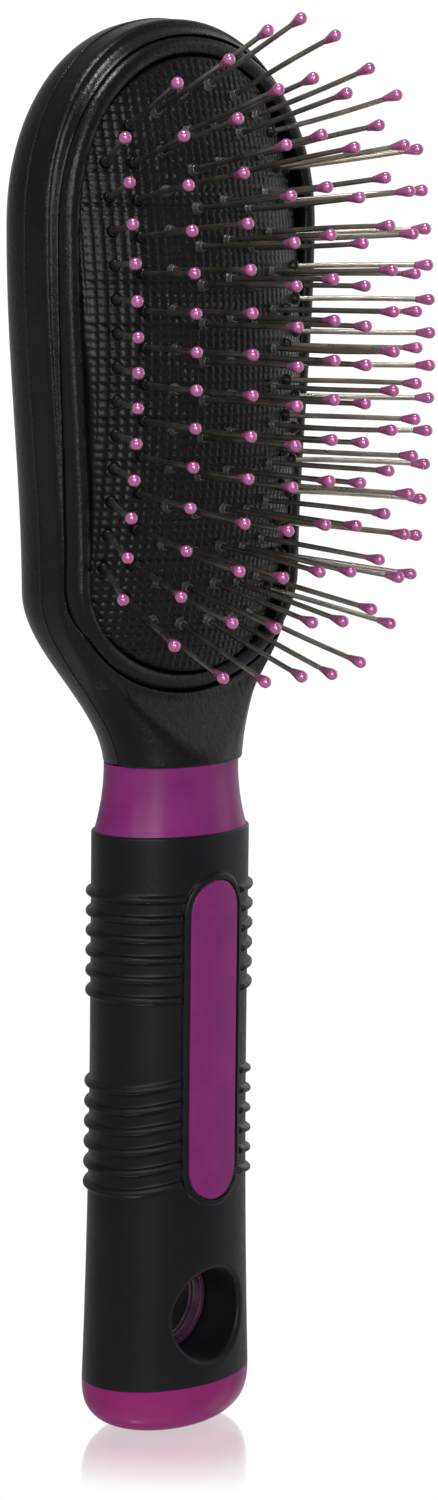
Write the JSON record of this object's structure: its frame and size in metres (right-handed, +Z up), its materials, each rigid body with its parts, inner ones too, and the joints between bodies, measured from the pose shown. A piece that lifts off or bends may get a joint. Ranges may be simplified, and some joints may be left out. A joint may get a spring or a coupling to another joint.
{
  "type": "paddle brush",
  "caption": "Cushion paddle brush: black oval head, domed rubber cushion with ball-tipped wire pins, magenta handle with ribbed rubber grip and hanging hole.",
  "frame": {"origin": "middle of the hanging hole, on the handle's axis", "axes": "+Z up the handle to the crown, the pins point along -Y, X across the head"},
  "size_m": [0.0704, 0.0523, 0.2379],
  "materials": {
    "head_plastic": "fine spark grain",
    "cushion_rubber": "moulded square mesh",
    "grip_rubber": "soft matte",
    "magenta_plastic": "satin",
    "pin_steel": "drawn wire",
    "tip_enamel": "pearl gloss"
  },
  "bodies": {
    "brush": {"back_shell": "head_plastic", "front_frame": "head_plastic", "cushion_ring": "head_plastic", "rubber_cushion": "cushion_rubber", "handle_core": "magenta_plastic", "rubber_grip": "grip_rubber", "panel_inlay": "magenta_plastic", "end_cap": "magenta_plastic"},
    "seats_1": {"pin_seats_1": "cushion_rubber"},
    "pins_1": {"pin_wires_1": "pin_steel", "ball_tips_1": "tip_enamel"},
    "seats_2": {"pin_seats_2": "cushion_rubber"},
    "pins_2": {"pin_wires_2": "pin_steel", "ball_tips_2": "tip_enamel"},
    "seats_3": {"pin_seats_3": "cushion_rubber"},
    "pins_3": {"pin_wires_3": "pin_steel", "ball_tips_3": "tip_enamel"},
    "seats_4": {"pin_seats_4": "cushion_rubber"},
    "pins_4": {"pin_wires_4": "pin_steel", "ball_tips_4": "tip_enamel"},
    "seats_5": {"pin_seats_5": "cushion_rubber"},
    "pins_5": {"pin_wires_5": "pin_steel", "ball_tips_5": "tip_enamel"},
    "seats_6": {"pin_seats_6": "cushion_rubber"},
    "pins_6": {"pin_wires_6": "pin_steel", "ball_tips_6": "tip_enamel"},
    "seats_7": {"pin_seats_7": "cushion_rubber"},
    "pins_7": {"pin_wires_7": "pin_steel", "ball_tips_7": "tip_enamel"},
    "seats_8": {"pin_seats_8": "cushion_rubber"},
    "pins_8": {"pin_wires_8": "pin_steel", "ball_tips_8": "tip_enamel"},
    "seats_9": {"pin_seats_9": "cushion_rubber"},
    "pins_9": {"pin_wires_9": "pin_steel", "ball_tips_9": "tip_enamel"}
  },
  "joints": [
    {"name": "column_1_press", "type": "slide", "parent": "brush", "child": "seats_1", "axis": [0, 1, 0], "range_m": [0, 0.0018], "stiffness_N_per_m": 250, "deforming": ["rubber_cushion"]},
    {"name": "column_1_rock", "type": "hinge", "parent": "seats_1", "child": "pins_1", "pos_m": [-0.0207, -0.00569, 0.1606], "axis": [0, 0, 1], "range_deg": [-6, 6], "stiffness_Nm_per_rad": 0.05, "deforming": ["rubber_cushion", "pin_seats_1"]},
    {"name": "column_2_press", "type": "slide", "parent": "brush", "child": "seats_2", "axis": [0, 1, 0], "range_m": [0, 0.0018], "stiffness_N_per_m": 250, "deforming": ["rubber_cushion"]},
    {"name": "column_2_rock", "type": "hinge", "parent": "seats_2", "child": "pins_2", "pos_m": [-0.0165, -0.00771, 0.16085], "axis": [0, 0, 1], "range_deg": [-6, 6], "stiffness_Nm_per_rad": 0.05, "deforming": ["rubber_cushion", "pin_seats_2"]},
    {"name": "column_3_press", "type": "slide", "parent": "brush", "child": "seats_3", "axis": [0, 1, 0], "range_m": [0, 0.0018], "stiffness_N_per_m": 250, "deforming": ["rubber_cushion"]},
    {"name": "column_3_rock", "type": "hinge", "parent": "seats_3", "child": "pins_3", "pos_m": [-0.0115, -0.00943, 0.1602], "axis": [0, 0, 1], "range_deg": [-6, 6], "stiffness_Nm_per_rad": 0.05, "deforming": ["rubber_cushion", "pin_seats_3"]},
    {"name": "column_4_press", "type": "slide", "parent": "brush", "child": "seats_4", "axis": [0, 1, 0], "range_m": [0, 0.0018], "stiffness_N_per_m": 250, "deforming": ["rubber_cushion"]},
    {"name": "column_4_rock", "type": "hinge", "parent": "seats_4", "child": "pins_4", "pos_m": [-0.006, -0.01057, 0.1614], "axis": [0, 0, 1], "range_deg": [-6, 6], "stiffness_Nm_per_rad": 0.05, "deforming": ["rubber_cushion", "pin_seats_4"]},
    {"name": "column_5_press", "type": "slide", "parent": "brush", "child": "seats_5", "axis": [0, 1, 0], "range_m": [0, 0.0018], "stiffness_N_per_m": 250, "deforming": ["rubber_cushion"]},
    {"name": "column_5_rock", "type": "hinge", "parent": "seats_5", "child": "pins_5", "pos_m": [0, -0.01098, 0.16225], "axis": [0, 0, 1], "range_deg": [-6, 6], "stiffness_Nm_per_rad": 0.05, "deforming": ["rubber_cushion", "pin_seats_5"]},
    {"name": "column_6_press", "type": "slide", "parent": "brush", "child": "seats_6", "axis": [0, 1, 0], "range_m": [0, 0.0018], "stiffness_N_per_m": 250, "deforming": ["rubber_cushion"]},
    {"name": "column_6_rock", "type": "hinge", "parent": "seats_6", "child": "pins_6", "pos_m": [0.006, -0.01057, 0.1614], "axis": [0, 0, 1], "range_deg": [-6, 6], "stiffness_Nm_per_rad": 0.05, "deforming": ["rubber_cushion", "pin_seats_6"]},
    {"name": "column_7_press", "type": "slide", "parent": "brush", "child": "seats_7", "axis": [0, 1, 0], "range_m": [0, 0.0018], "stiffness_N_per_m": 250, "deforming": ["rubber_cushion"]},
    {"name": "column_7_rock", "type": "hinge", "parent": "seats_7", "child": "pins_7", "pos_m": [0.0115, -0.00943, 0.1602], "axis": [0, 0, 1], "range_deg": [-6, 6], "stiffness_Nm_per_rad": 0.05, "deforming": ["rubber_cushion", "pin_seats_7"]},
    {"name": "column_8_press", "type": "slide", "parent": "brush", "child": "seats_8", "axis": [0, 1, 0], "range_m": [0, 0.0018], "stiffness_N_per_m": 250, "deforming": ["rubber_cushion"]},
    {"name": "column_8_rock", "type": "hinge", "parent": "seats_8", "child": "pins_8", "pos_m": [0.0165, -0.00771, 0.16085], "axis": [0, 0, 1], "range_deg": [-6, 6], "stiffness_Nm_per_rad": 0.05, "deforming": ["rubber_cushion", "pin_seats_8"]},
    {"name": "column_9_press", "type": "slide", "parent": "brush", "child": "seats_9", "axis": [0, 1, 0], "range_m": [0, 0.0018], "stiffness_N_per_m": 250, "deforming": ["rubber_cushion"]},
    {"name": "column_9_rock", "type": "hinge", "parent": "seats_9", "child": "pins_9", "pos_m": [0.0207, -0.00569, 0.1606], "axis": [0, 0, 1], "range_deg": [-6, 6], "stiffness_Nm_per_rad": 0.05, "deforming": ["rubber_cushion", "pin_seats_9"]}
  ]
}
